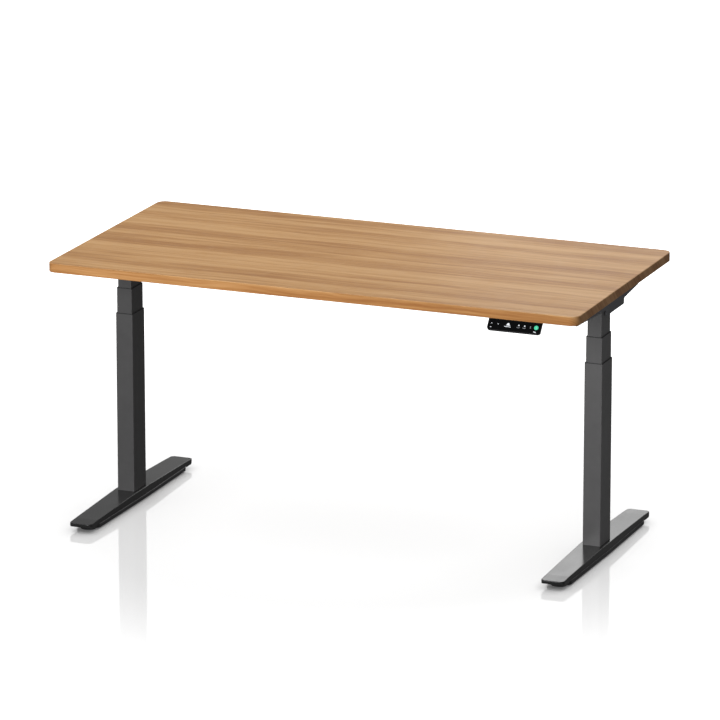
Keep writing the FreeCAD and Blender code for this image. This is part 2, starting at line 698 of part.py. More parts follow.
# ---------------------------------------------------------------- gearboxes and motors
def gearbox(name, centre):
    body = new_body(name, (centre, ZERO, ZERO))
    block = new_sketch(body, "XY_Plane", size.upper_top)
    half = size.gearbox_width / 2
    rectangle(block, -half, half, size.gearbox_front, size.gearbox_back)
    pad(body, block, size.gearbox_top - size.upper_top)
    round_edges(body, size.upper_corner, lambda e, c: is_upright(e))
    bore(body, size.gearbox_bore, ZERO, size.hex_top + size.shaft_room)


def motor(name, centre):
    """Round can with a boss at each end, lying along Y behind the gearbox."""
    body = new_body(name, (centre, ZERO, size.motor_axis))
    front = size.gearbox_back
    boss = size.motor_boss
    steps = [
        (size.motor_cap, front, front + boss),
        (size.motor_radius, front + boss, size.motor_back),
        (size.motor_cap, size.motor_back, size.motor_back + boss),
    ]
    for radius, start, end in steps:
        sketch = new_sketch(body, "XZ_Plane", -start)
        circle(sketch, 0, 0, radius)
        pad(body, sketch, end - start, reverse=True)
    can = size.motor_radius.number
    round_edges(body, size.motor_edge, lambda e, c: abs(e.BoundBox.XLength / 2 - can) < 0.01
                and e.BoundBox.YLength < 0.01)


def motor_cover(name, centre):
    """Shallow plastic tray clipped between the bracket's walls under the motor."""
    body = new_body(name, (centre, ZERO, ZERO))
    half = size.bracket_half - size.bracket_skin - size.cover_gap
    skin = size.cover_skin
    outline = new_sketch(body, "XY_Plane", size.cover_low)
    rectangle(outline, -half, half, size.cover_front, size.cover_back)
    pad(body, outline, size.cover_top - size.cover_low)
    hollow = new_sketch(body, "XY_Plane", size.cover_low + skin)
    rectangle(hollow, skin - half, half - skin, size.cover_front + skin, size.cover_back - skin)
    pocket(body, hollow, reverse=True)


for side_name, side in SIDES:
    centre = size.leg_centre * side
    gearbox(f"gearbox_{side_name}", centre)
    motor(f"motor_{side_name}", centre)
    motor_cover(f"motor_cover_{side_name}", centre)


# ---------------------------------------------------------------- top frame
# A side bracket is one folded sheet: a flat web under the desktop and two side walls
# that taper to the ends and drop down behind the column as a bay for the motor.
bracket_screw_places = [size.bracket_reach * share for share in (-0.9, -0.5, 0.55, 0.9)]
rail_bolt_steps = (-size.rail_bolt_far, -size.rail_bolt_near, size.rail_bolt_near, size.rail_bolt_far)
rail_bolt_places = [(y, size.rail_mid) for y in rail_bolt_steps]


def side_bracket(name, centre, side):
    body = new_body(name, (centre, ZERO, ZERO))
    wall = new_sketch(body, "YZ_Plane")
    reach = size.bracket_reach
    polygon(wall, [
        (-reach, size.bracket_tip),
        (-size.bracket_knee, size.bracket_front_knee),
        (size.bay_front, size.bracket_front),
        (size.bay_front, size.bracket_deep),
        (size.bay_back, size.bracket_deep),
        (size.bay_back, size.bracket_rear),
        (size.bracket_knee, size.bracket_rear_knee),
        (reach, size.bracket_tip),
        (reach, desk_low),
        (-reach, desk_low),
    ])
    pad(body, wall, size.bracket_half * 2, middle=True)
    low = desk_low.number - 5
    round_edges(body, size.bracket_round, lambda e, c: e.BoundBox.XLength > 1 and c.z < low
                and abs(abs(c.y) - size.bracket_reach.number) > 1)
    inside = new_sketch(body, "XZ_Plane")
    half = size.bracket_half - size.bracket_skin
    rectangle(inside, -half, half, size.bracket_deep - size.bracket_round, desk_low - size.bracket_skin)
    pocket(body, inside, middle=True)
    bore(body, size.wood_screw_hole, desk_low - size.bracket_skin * 2, None,
         [(0, y) for y in bracket_screw_places])
    bolt_holes = new_sketch(body, "YZ_Plane", half * -side)
    for y, z in rail_bolt_places:
        circle(bolt_holes, y, z, size.rail_bolt_shank)
    pocket(body, bolt_holes, size.bracket_skin * 2, reverse=side < 0)


def rail_sleeve(name, side):
    """End plate with two short square sleeves welded to it, which take the cross rails."""
    body = new_body(name)
    plate_face = (size.leg_centre - size.bracket_half) * side
    plate = new_sketch(body, "YZ_Plane", plate_face)
    half = size.end_plate_half
    sleeve_top = size.rail_mid + size.sleeve_height / 2
    rectangle(plate, -half, half, size.end_plate_low, sleeve_top)
    pad(body, plate, size.end_plate_thick, reverse=side > 0)
    sleeve = new_sketch(body, "YZ_Plane", plate_face - size.end_plate_thick * side)
    long = size.leg_centre - size.bracket_half - size.end_plate_thick - size.sleeve_end
    half_high = size.sleeve_height / 2
    for place in (-size.rail_place, size.rail_place):
        half_wide = size.sleeve_width / 2
        rectangle(sleeve, place - half_wide, place + half_wide, size.rail_mid - half_high,
                  size.rail_mid + half_high)
        half_wide = half_wide - size.rail_wall
        inner_high = half_high - size.rail_wall
        rectangle(sleeve, place - half_wide, place + half_wide, size.rail_mid - inner_high,
                  size.rail_mid + inner_high)
    pad(body, sleeve, long, reverse=side > 0)
    holes = new_sketch(body, "YZ_Plane", plate_face)
    for y, z in rail_bolt_places:
        circle(holes, y, z, size.rail_bolt_shank)
    pocket(body, holes, size.end_plate_thick, reverse=side < 0)
    locks = new_sketch(body, "XY_Plane", size.end_plate_low)
    for x, y in lock_places(side):
        circle(locks, x, y, size.lock_radius)
    pocket(body, locks, size.rail_mid - size.end_plate_low, reverse=True)


def lock_places(side):
    from_middle = (size.sleeve_end + size.lock_inset) * side
    return [(from_middle, size.rail_place * end) for end in (-1, 1)]


for side_name, side in SIDES:
    side_bracket(f"side_bracket_{side_name}", size.leg_centre * side, side)
    rail_sleeve(f"rail_sleeve_{side_name}", side)

for rail_name, end in (("front", -1), ("rear", 1)):
    rail = new_body(f"cross_rail_{rail_name}", (ZERO, size.rail_place * end, size.rail_mid))
    section = new_sketch(rail, "YZ_Plane")
    rounded_rectangle(section, size.rail_width, size.rail_height, size.rail_corner)
    wall = size.rail_wall
    rounded_rectangle(section, size.rail_width - wall * 2, size.rail_height - wall * 2,
                      size.rail_corner - wall)
    pad(rail, section, size.rail_half * 2, middle=True)

# Rail bolts: heads on the end plates, shanks through the brackets' inner walls.
rail_bolts = new_body("rail_bolts", several=True)
plate_inner = size.leg_centre - size.bracket_half - size.end_plate_thick
for side_name, side in SIDES:
    for radius, start, length in (
        (size.rail_bolt_head, plate_inner - size.rail_bolt_head_thick, size.rail_bolt_head_thick),
        (size.rail_bolt_shank, plate_inner, size.end_plate_thick + size.bracket_skin + 1),
    ):
        sketch = new_sketch(rail_bolts, "YZ_Plane", start * side)
        for y, z in rail_bolt_places:
            circle(sketch, y, z, radius)
        pad(rail_bolts, sketch, length, reverse=side < 0)

# Rail lock screws: one under each sleeve, pressing on the rail inside.
lock_spots = [spot for _, side in SIDES for spot in lock_places(side)]
sleeve_low = size.rail_mid - size.sleeve_height / 2
rail_low = size.rail_mid - size.rail_height / 2
lock_screws = new_body("rail_lock_screws", several=True)
disc(lock_screws, size.lock_head, sleeve_low - size.lock_head_thick, sleeve_low, lock_spots)
disc(lock_screws, size.lock_radius, sleeve_low, rail_low, lock_spots)

# ---------------------------------------------------------------- desktop
desktop = new_body("desktop")
outline = new_sketch(desktop, "XY_Plane", desk_low)
rounded_rectangle(outline, size.desk_width, size.desk_depth, size.desk_corner)
pad(desktop, outline, size.desk_thick)
round_edges(desktop, size.desk_edge, lambda e, c: e.BoundBox.ZLength < 0.01)

# Wood screws come up through the bracket webs and cut their own thread in the panel.
wood_spots = [(size.leg_centre * side, y) for _, side in SIDES for y in bracket_screw_places]
web_low = desk_low - size.bracket_skin
desktop_screws = new_body("desktop_screws", several=True)
disc(desktop_screws, size.wood_screw_head, web_low - size.wood_screw_head_thick, web_low, wood_spots)
disc(desktop_screws, size.wood_screw_shank, web_low, desk_low + size.wood_screw_bite, wood_spots)

# ---------------------------------------------------------------- control box
# A flat box under the rear of the desktop: a steel plate with two ears, a plastic cover
# below it, the circuit board with its cable sockets, and a mains inlet at one end.
box_plate = new_body("control_box_plate", (ZERO, size.box_place, ZERO))
sketch = new_sketch(box_plate, "XY_Plane", desk_low - size.box_plate)
rounded_rectangle(sketch, size.box_width + size.box_ear * 2, size.box_plate_depth, size.box_corner)
pad(box_plate, sketch, size.box_plate)

box_top = desk_low - size.box_plate
box_low = box_top - size.box_height
box_cover = new_body("control_box_cover", (ZERO, size.box_place, ZERO))
sketch = new_sketch(box_cover, "XY_Plane", box_low)
rounded_rectangle(sketch, size.box_width, size.box_depth, size.box_corner)
pad(box_cover, sketch, size.box_height)
round_edges(box_cover, size.box_edge, lambda e, c: abs(c.z - box_low.number) < 0.01)
sketch = new_sketch(box_cover, "XY_Plane", box_low + size.box_skin)
double_skin = size.box_skin * 2
rounded_rectangle(sketch, size.box_width - double_skin, size.box_depth - double_skin,
                  size.box_corner - size.box_skin)
pocket(box_cover, sketch, reverse=True)

socket_places = [size.socket_pitch * (i - 1.5) for i in range(4)]
socket_low = size.board_mid - size.socket_height
sketch = new_sketch(box_cover, "XZ_Plane", size.box_depth / 2)
for x in socket_places:
    half = size.socket_width / 2 + size.port_gap
    rectangle(sketch, x - half, x + half, socket_low - size.port_gap, size.board_mid + size.port_gap)
pocket(box_cover, sketch, size.box_skin * 2)

inlet_low = size.board_mid - size.inlet_height / 2
inlet_high = size.board_mid + size.inlet_height / 2
sketch = new_sketch(box_cover, "YZ_Plane", size.box_width / 2)
rectangle(sketch, -size.inlet_width / 2, size.inlet_width / 2, inlet_low, inlet_high)
pocket(box_cover, sketch, size.box_skin * 2)

board = new_body("control_board", (ZERO, size.box_place, ZERO))
sketch = new_sketch(board, "XY_Plane", size.board_mid)
margin = size.box_skin + 2
board_end = size.box_width / 2 - size.inlet_deep - margin * 2
rectangle(sketch, margin - size.box_width / 2, board_end, margin - size.box_depth / 2,
          size.box_depth / 2 - margin)
pad(board, sketch, size.board_thick)
sketch = new_sketch(board, "XZ_Plane", size.box_depth / 2)
for x in socket_places:
    half = size.socket_width / 2
    rectangle(sketch, x - half, x + half, socket_low, size.board_mid)
pad(board, sketch, size.socket_deep, reverse=True)
sketch = new_sketch(board, "XZ_Plane", size.box_depth / 2)
for x in socket_places:
    half = size.socket_width / 2 - size.socket_wall
    rectangle(sketch, x - half, x + half, socket_low + size.socket_wall, size.board_mid - size.socket_wall)
pocket(board, sketch, size.socket_deep - size.socket_back)

inlet = new_body("mains_inlet", (ZERO, size.box_place, ZERO))
sketch = new_sketch(inlet, "YZ_Plane", size.box_width / 2)
rectangle(sketch, -size.inlet_width / 2, size.inlet_width / 2, inlet_low, inlet_high)
pad(inlet, sketch, size.inlet_deep, reverse=True)
sketch = new_sketch(inlet, "YZ_Plane", size.box_width / 2)
skin = size.inlet_wall
half = size.inlet_width / 2 - skin
rectangle(sketch, -half, half, inlet_low + skin, inlet_high - skin)
pocket(inlet, sketch, size.inlet_deep - size.socket_back)

# ---------------------------------------------------------------- control panel
# A touch panel under the front edge: a leaning plastic shell with a narrower foot behind
# it, screwed to the desktop, a flat glass on its face, and a circuit board in a slot.
lean = sine(size.panel_tilt)
fall = cosine(size.panel_tilt)
panel_low_y = size.panel_top_y - size.panel_slope * lean
panel_low_z = desk_low - size.panel_slope * fall


def on_panel(along, inward):
    """Y and Z of a point `along` up the face from its lower edge, `inward` behind it."""
    along = as_size(along)
    inward = as_size(inward)
    return (panel_low_y + along * lean + inward * fall, panel_low_z + along * fall - inward * lean)


housing = new_body("panel_housing", (size.panel_centre, ZERO, ZERO))
profile = new_sketch(housing, "YZ_Plane")
face_low = on_panel(0, size.panel_glass)
shell_low = on_panel(0, size.panel_shell)
polygon(profile, [
    face_low,
    shell_low,
    (size.panel_top_y + size.panel_shell / fall, desk_low),
    (size.panel_top_y + size.panel_glass / fall, desk_low),
])
pad(housing, profile, size.panel_width, middle=True)
low_middle = (face_low[1].number + shell_low[1].number) / 2
round_edges(housing, size.panel_corner, lambda e, c: e.BoundBox.XLength < 0.01
            and abs(c.z - low_middle) < 0.1)
mounting_foot = new_sketch(housing, "YZ_Plane")
foot_start = on_panel(size.panel_corner, size.panel_shell - 1)
polygon(mounting_foot, [
    foot_start,
    (size.panel_belly_y, foot_start[1]),
    (size.panel_back_y, desk_low - size.panel_tail),
    (size.panel_back_y, desk_low),
    (size.panel_top_y + (size.panel_shell - 1) / fall, desk_low),
])
pad(housing, mounting_foot, size.panel_foot, middle=True)
slot = new_sketch(housing, "YZ_Plane")
slot_low = size.panel_corner
slot_high = size.panel_slope - size.panel_corner
polygon(slot, [
    on_panel(slot_low, size.panel_glass - 1),
    on_panel(slot_high, size.panel_glass - 1),
    on_panel(slot_high, size.panel_glass + size.panel_slot),
    on_panel(slot_low, size.panel_glass + size.panel_slot),
])
pocket(housing, slot, size.panel_width - size.panel_corner * 2, middle=True)
panel_screw_spots = [(size.panel_screw_x * i, size.panel_screw_y) for i in (-1, 1)]
bore(housing, size.wood_screw_shank, ZERO, None, panel_screw_spots)
bore(housing, size.wood_screw_head, ZERO, desk_low - size.wood_screw_head_thick, panel_screw_spots)


def lay_on_panel(body):
    """Turns a flat body so that its Y runs up the panel's face and its Z points out."""
    body.Placement = FreeCAD.Placement(
        FreeCAD.Vector(size.panel_centre.number, panel_low_y.number, panel_low_z.number),
        FreeCAD.Rotation(FreeCAD.Vector(1, 0, 0), 90 - size.panel_tilt.number),
    )
    bind(body, "Placement.Rotation.Angle", 90 - size.panel_tilt)


glass = new_body("panel_glass", (size.panel_centre, panel_low_y, panel_low_z))
lay_on_panel(glass)
sketch = new_sketch(glass, "XY_Plane", -size.panel_glass)
half = size.panel_width / 2 - size.panel_border
glass_top = size.panel_slope - size.panel_gap
rectangle(sketch, -half, half, size.panel_border, glass_top)
pad(glass, sketch, size.panel_glass)
round_edges(glass, size.panel_corner, lambda e, c: is_upright(e) and c.y < glass_top.number / 2)

panel_board = new_body("panel_board", (size.panel_centre, panel_low_y, panel_low_z))
lay_on_panel(panel_board)
sketch = new_sketch(panel_board, "XY_Plane", -size.panel_glass - 2)
half = size.panel_width / 2 - size.panel_corner - 1
rectangle(sketch, -half, half, slot_low + 1, slot_high - 1)
pad(panel_board, sketch, size.board_thick)

panel_screws = new_body("panel_screws", (size.panel_centre, ZERO, ZERO), several=True)
head_low = desk_low - size.wood_screw_head_thick
disc(panel_screws, size.wood_screw_head, head_low - size.panel_screw_sunk, head_low, panel_screw_spots)
disc(panel_screws, size.wood_screw_shank, head_low, desk_low + size.wood_screw_bite, panel_screw_spots)


# ---------------------------------------------------------------- checks and files
def check_document():
    doc.recompute()
    for item in doc.Objects:
        if "Invalid" in item.State or "Error" in item.State:
            raise RuntimeError(f"{item.Name} failed: {item.State}")
    for body in NODES:
        shape = body.Shape
        if shape.isNull() or not shape.isValid() or not shape.Solids:
            raise RuntimeError(f"{body.Label} has no valid solid")


check_document()
os.makedirs("parts", exist_ok=True)
for body in NODES:
    body.Shape.exportStep(f"parts/{body.Label}.step")
print(f"{len(NODES)} sub-parts written")
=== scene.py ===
"""Looks of the height adjustable standing desk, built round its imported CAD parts. Metres, Z up."""

import math

import bmesh
import bpy
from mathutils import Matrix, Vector


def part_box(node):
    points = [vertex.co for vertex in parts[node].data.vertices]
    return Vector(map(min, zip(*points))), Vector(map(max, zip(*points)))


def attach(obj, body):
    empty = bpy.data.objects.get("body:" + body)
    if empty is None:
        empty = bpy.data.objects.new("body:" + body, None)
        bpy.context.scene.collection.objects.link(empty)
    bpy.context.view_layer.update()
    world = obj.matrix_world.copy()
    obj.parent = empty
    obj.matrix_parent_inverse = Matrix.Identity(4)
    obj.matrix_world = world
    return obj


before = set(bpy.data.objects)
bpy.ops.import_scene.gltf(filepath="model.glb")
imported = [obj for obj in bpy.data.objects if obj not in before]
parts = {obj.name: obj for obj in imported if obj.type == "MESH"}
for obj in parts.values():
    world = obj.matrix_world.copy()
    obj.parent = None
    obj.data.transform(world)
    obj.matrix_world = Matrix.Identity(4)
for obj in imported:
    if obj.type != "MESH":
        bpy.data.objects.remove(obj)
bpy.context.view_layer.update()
mm = 0.001


# ---------------------------------------------------------------------------------------
# Feet. Each is a pressed steel shell, sloping down to both ends, that closes over a shallow
# steel tray. Both are powder coated, a baked charcoal plastic film with a fine orange peel
# that holds dust on top. Their pale edges are partly wear and partly a painted highlight:
# the light line that shines along the tray's lip.
def fill_sockets(tree, node, wires):
    """Gives each input named in wires its value, or the output that feeds it."""
    for socket, source in wires.items():
        if isinstance(source, bpy.types.NodeSocket):
            tree.links.new(source, node.inputs[socket])
        else:
            node.inputs[socket].default_value = source


def add_node(tree, kind, wires, **settings):
    node = tree.nodes.new("ShaderNode" + kind)
    for key, value in settings.items():
        setattr(node, key, value)
    fill_sockets(tree, node, wires)
    return node


def maths(tree, operation, first, second=0.5, third=0.5):
    wires = {0: first, 1: second, 2: third}
    return add_node(tree, "Math", wires, operation=operation).outputs[0]


def blend_colours(tree, share, first, second, way="MIX"):
    wires = {"Factor": share, 6: first, 7: second}
    return add_node(tree, "Mix", wires, data_type="RGBA", blend_type=way).outputs[2]


def blend_values(tree, share, first, second):
    return add_node(tree, "Mix", {"Factor": share, 2: first, 3: second}).outputs[0]


def span(tree, value, low, high, to_low=0.0, to_high=1.0):
    """A value carried from one range to another, and held at its ends."""
    wires = {"Value": value, "From Min": low, "From Max": high,
             "To Min": to_low, "To Max": to_high}
    return add_node(tree, "MapRange", wires, interpolation_type="SMOOTHSTEP").outputs[0]


def noise(tree, place, scale, detail=2.0, roughness=0.5, stretch=(1, 1, 1)):
    """Noise of so many grains to the metre, drawn out along the axes with a low stretch."""
    if stretch != (1, 1, 1):
        place = add_node(tree, "Mapping", {"Vector": place, "Scale": stretch}).outputs[0]
    wires = {"Vector": place, "Scale": scale, "Detail": detail, "Roughness": roughness}
    return add_node(tree, "TexNoise", wires).outputs["Fac"]


def effect_group(name, inputs, outputs):
    """A node group with named inputs, each with its usual value, and named outputs."""
    tree = bpy.data.node_groups.new(name, "ShaderNodeTree")
    for label, value in inputs.items():
        kind = "NodeSocketColor" if isinstance(value, tuple) else "NodeSocketFloat"
        tree.interface.new_socket(label, in_out="INPUT", socket_type=kind).default_value = value
    for label, kind in outputs.items():
        tree.interface.new_socket(label, in_out="OUTPUT", socket_type="NodeSocket" + kind)
    return tree, tree.nodes.new("NodeGroupInput").outputs, tree.nodes.new("NodeGroupOutput").inputs


def use_group(tree, group, wires):
    node = tree.nodes.new("ShaderNodeGroup")
    node.node_tree = group
    fill_sockets(tree, node, wires)
    return node.outputs


# Worn and highlighted edges: 1 on an edge sharper than the radius, broken up by noise, and 0 on
# flat faces. The pale colour it brings is wear, and on the feet also a painted highlight.
edge_wear_and_highlight, given, gives = effect_group(
    "Worn and highlighted edges", {"Radius": 0.0012, "Breakup": 120.0, "Amount": 0.5}, {"Mask": "Float"})
place = add_node(edge_wear_and_highlight, "TexCoord", {}).outputs["Object"]
rounded = add_node(edge_wear_and_highlight, "Bevel", {"Radius": given["Radius"]}, samples=4).outputs[0]
face = add_node(edge_wear_and_highlight, "NewGeometry", {}).outputs["Normal"]
turn = add_node(edge_wear_and_highlight, "VectorMath", {0: rounded, 1: face}, operation="DOT_PRODUCT")
edge = span(edge_wear_and_highlight, turn.outputs["Value"], 0.995, 0.90)
patches = span(edge_wear_and_highlight, noise(edge_wear_and_highlight, place, given["Breakup"], 4.0, 0.6), 0.42, 0.62)
worn_and_highlit = maths(edge_wear_and_highlight, "MULTIPLY", maths(edge_wear_and_highlight, "MULTIPLY", edge, patches), given["Amount"])
edge_wear_and_highlight.links.new(worn_and_highlit, gives["Mask"])

# Dust and handling: dust lies on faces that look up, smears of touched places vary the gloss.
handling, given, gives = effect_group(
    "Dust and handling", {"Dust": 0.2, "Smears": 0.1},
    {"Dust Mask": "Float", "Gloss Change": "Float"})
place = add_node(handling, "TexCoord", {}).outputs["Object"]
face = add_node(handling, "NewGeometry", {}).outputs["Normal"]
up = add_node(handling, "SeparateXYZ", {"Vector": face})
facing_up = span(handling, up.outputs["Z"], 0.6, 0.98)
clumps = span(handling, noise(handling, place, 45.0, 6.0, 0.65), 0.38, 0.70)
specks = span(handling, noise(handling, place, 900.0, 1.0, 0.5), 0.60, 0.74)
dust = maths(handling, "MULTIPLY", facing_up, maths(handling, "MULTIPLY_ADD", specks, 0.5, clumps))
handling.links.new(maths(handling, "MULTIPLY", dust, given["Dust"]), gives["Dust Mask"])
smears = maths(handling, "SUBTRACT", noise(handling, place, 14.0, 3.0, 0.6, (1.0, 0.45, 0.8)), 0.5)
handling.links.new(maths(handling, "MULTIPLY", smears, given["Smears"]), gives["Gloss Change"])

# Fine grain: the small hills of a sprayed or moulded skin, with a slow waviness under them.
skin_grain, given, gives = effect_group(
    "Skin grain", {"Grains per Metre": 1800.0, "Waviness": 0.35, "Tone": 0.08,
                   "Colour": (0.03, 0.03, 0.03, 1.0)},
    {"Colour": "Color", "Height": "Float"})
place = add_node(skin_grain, "TexCoord", {}).outputs["Object"]
hills = noise(skin_grain, place, given["Grains per Metre"], 2.0, 0.6)
slow_grains = maths(skin_grain, "MULTIPLY", given["Grains per Metre"], 0.12)
waves = noise(skin_grain, place, slow_grains, 2.0, 0.5)
height = maths(skin_grain, "MULTIPLY_ADD", waves, given["Waviness"], hills)
skin_grain.links.new(height, gives["Height"])
mottle = noise(skin_grain, place, 26.0, 5.0, 0.6)
tone = maths(skin_grain, "MULTIPLY_ADD", maths(skin_grain, "SUBTRACT", mottle, 0.5), 2.0, 0.5)
lift = maths(skin_grain, "MULTIPLY_ADD", maths(skin_grain, "ADD", tone, hills), given["Tone"], 1.0)
lift = maths(skin_grain, "SUBTRACT", lift, given["Tone"])
tinted = add_node(skin_grain, "VectorMath", {0: given["Colour"], "Scale": lift}, operation="SCALE")
skin_grain.links.new(tinted.outputs[0], gives["Colour"])


def new_material(name):
    material = bpy.data.materials.new(name)
    material.use_nodes = True
    tree = material.node_tree
    return material, tree, tree.nodes["Principled BSDF"].inputs


def raise_grain(tree, surface, height, strength, depth):
    """Relief on a surface, from a height of 0 to 1 that stands so many metres deep."""
    bump = add_node(tree, "Bump", {"Strength": strength, "Distance": depth, "Height": height})
    tree.links.new(bump.outputs[0], surface["Normal"])


# Pale bare steel on edges: wear, and on the feet also a painted highlight.
bare_steel_and_highlight, grey_dust = (0.16, 0.16, 0.17, 1.0), (0.30, 0.29, 0.28, 1.0)


def powder_coat(name, colour, roughness, dust=0.15, wear_and_highlight=0.35, grains=1500.0, texture=0.22):
    """Baked powder film over steel: colour, gloss, dust, the pale steel of its edges, which is wear
    and, where set strong, a painted highlight, and how many grains to the metre its texture has
    and how strongly they stand out."""
    material, tree, surface = new_material(name)
    film = use_group(tree, skin_grain, {"Colour": (*colour, 1.0), "Tone": 0.16,
                                        "Grains per Metre": grains})
    worn_and_highlit = use_group(tree, edge_wear_and_highlight, {"Amount": wear_and_highlight})["Mask"]
    touched = use_group(tree, handling, {"Dust": dust, "Smears": 0.22})
    bare_and_highlit = blend_colours(tree, worn_and_highlit, film["Colour"], bare_steel_and_highlight)
    dusty = blend_colours(tree, touched["Dust Mask"], bare_and_highlit, grey_dust)
    tree.links.new(dusty, surface["Base Color"])
    gloss = maths(tree, "ADD", touched["Gloss Change"], roughness)
    dull = maths(tree, "MULTIPLY_ADD", touched["Dust Mask"], 0.4, gloss)
    tree.links.new(dull, surface["Roughness"])
    raise_grain(tree, surface, film["Height"], texture, 0.06 * mm)
    return material


def finish_part(material, *names):
    """Puts one material on the CAD parts of these names."""
    for name in names:
        for own in parts[name].material_slots:
            own.material = material


sides = ("left", "right")


def both(*names):
    return [f"{name}_{side}" for name in names for side in sides]


# On the feet the pale edges are set strong: a painted highlight, the light line along the tray's
# lip, over a little wear.
foot_coat = powder_coat("foot_powder_coat", (0.014, 0.014, 0.014), 0.17, dust=0.03, wear_and_highlight=0.5,
                        grains=600.0, texture=0.9)
tray_coat = powder_coat("tray_powder_coat", (0.020, 0.020, 0.021), 0.34, dust=0.03, wear_and_highlight=0.9)
finish_part(foot_coat, *both("foot_shell"))
finish_part(tray_coat, *both("foot_tray"))


# ---------------------------------------------------------------------------------------
# Levelling glides. A hard rubber pad is moulded on a zinc plated M8 stem, which screws up
# into a nut welded in the tray and is turned by hand to level the desk.
def plated_steel(name, colour=(0.56, 0.56, 0.57), roughness=0.28, thread=None):
    """Plated or drawn steel: cloudy crystals and a faint blue and straw tint. A screw's thread
    is its lead and the place of its centre, and gives it ridges."""
    material, tree, surface = new_material(name)
    place = add_node(tree, "TexCoord", {}).outputs["Object"]
    clouds = noise(tree, place, 260.0, 4.0, 0.6)
    tint = blend_colours(tree, span(tree, noise(tree, place, 60.0), 0.35, 0.65),
                         (colour[0] * 0.92, colour[1] * 0.95, colour[2], 1.0),
                         (colour[0], colour[1] * 0.98, colour[2] * 0.88, 1.0))
    grain = use_group(tree, skin_grain, {"Colour": tint, "Tone": 0.12, "Grains per Metre": 2600.0})
    marks = use_group(tree, handling, {"Dust": 0.08, "Smears": 0.12})
    dusty = blend_colours(tree, marks["Dust Mask"], grain["Colour"], (0.25, 0.24, 0.22, 1.0))
    tree.links.new(dusty, surface["Base Color"])
    surface["Metallic"].default_value = 1.0
    gloss = maths(tree, "MULTIPLY_ADD", clouds, 0.22, roughness - 0.11)
    tree.links.new(maths(tree, "ADD", gloss, marks["Gloss Change"]), surface["Roughness"])
    height, depth = grain["Height"], 0.02 * mm
    if thread:
        lead, centre = thread
        apart = add_node(tree, "SeparateXYZ", {"Vector": place}).outputs
        from_centre = maths(tree, "SUBTRACT", maths(tree, "ABSOLUTE", apart["X"]), centre[0])
        from_middle = maths(tree, "SUBTRACT", maths(tree, "ABSOLUTE", apart["Y"]), centre[1])
        round_angle = maths(tree, "ARCTAN2", from_middle, from_centre)
        leads_up = maths(tree, "DIVIDE", apart["Z"], lead)
        climb = maths(tree, "MULTIPLY_ADD", round_angle, 1 / math.tau, leads_up)
        height = maths(tree, "PINGPONG", climb, 0.5)
        depth = lead * 0.5
    raise_grain(tree, surface, height, 0.6, depth)
    return material


def moulded_plastic(name, colour, roughness=0.45, texture=0.3, dust=0.12):
    """Injection moulded ABS or nylon: spark-eroded grain, shiny rubbed edges and light dust."""
    material, tree, surface = new_material(name)
    skin = use_group(tree, skin_grain, {"Colour": (*colour, 1.0), "Tone": 0.14,
                                        "Grains per Metre": 2200.0})
    rubbed = use_group(tree, edge_wear_and_highlight, {"Amount": 0.6, "Radius": 0.0008})["Mask"]
    touched = use_group(tree, handling, {"Dust": dust, "Smears": 0.16})
    dusty = blend_colours(tree, touched["Dust Mask"], skin["Colour"], (0.28, 0.27, 0.26, 1.0))
    tree.links.new(dusty, surface["Base Color"])
    gloss = maths(tree, "ADD", touched["Gloss Change"], roughness)
    tree.links.new(maths(tree, "MULTIPLY_ADD", rubbed, -0.15, gloss), surface["Roughness"])
    raise_grain(tree, surface, skin["Height"], texture, 0.05 * mm)
    return material


glide_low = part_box("levelling_glide_front_right")[0]
pad_top = glide_low.z + 7.5 * mm
stem_pitch = 1.25 * mm
glide_finish, tree, surface = new_material("glide_rubber_and_stem")
place = add_node(tree, "TexCoord", {}).outputs["Object"]
apart = add_node(tree, "SeparateXYZ", {"Vector": place}).outputs
on_stem = span(tree, apart["Z"], pad_top, pad_top + 0.4 * mm)
rubber = use_group(tree, skin_grain, {"Colour": (0.018, 0.018, 0.019, 1.0), "Tone": 0.2,
                                      "Grains per Metre": 1200.0})
touched = use_group(tree, handling, {"Dust": 0.2, "Smears": 0.1})
dusty_rubber = blend_colours(tree, touched["Dust Mask"], rubber["Colour"], (0.22, 0.21, 0.20, 1.0))
glide_colour = blend_colours(tree, on_stem, dusty_rubber, (0.54, 0.55, 0.56, 1.0))
tree.links.new(glide_colour, surface["Base Color"])
tree.links.new(on_stem, surface["Metallic"])
tree.links.new(blend_values(tree, on_stem, 0.62, 0.30), surface["Roughness"])
ridges = maths(tree, "PINGPONG", maths(tree, "DIVIDE", apart["Z"], stem_pitch), 0.5)
relief = blend_values(tree, on_stem, rubber["Height"], ridges)
raise_grain(tree, surface, relief, 0.35, 0.3 * mm)
finish_part(glide_finish, *both("levelling_glide_front", "levelling_glide_rear"))

bolt_zinc = plated_steel("bright_zinc_plate")
finish_part(bolt_zinc, "levelling_nuts", "foot_bolts", *both("foot_clamp_plate", "tube_end_block"))


# ---------------------------------------------------------------------------------------
# Columns. Three drawn steel tubes slide in one another, each powder coated before assembly.
# A thin nylon collar closes the mouth of each outer tube and keeps the tubes from rattling.
tube_coat = powder_coat("column_powder_coat", (0.056, 0.055, 0.056), 0.44, dust=0.04)
inner_coat = powder_coat("inner_tube_powder_coat", (0.052, 0.051, 0.052), 0.42, dust=0.04)
collar_nylon = moulded_plastic("collar_nylon", (0.006, 0.006, 0.007), 0.6)
finish_part(tube_coat, *both("lower_tube"))
finish_part(inner_coat, *both("middle_tube", "upper_tube"))
finish_part(collar_nylon, *both("lower_collar", "middle_collar"))


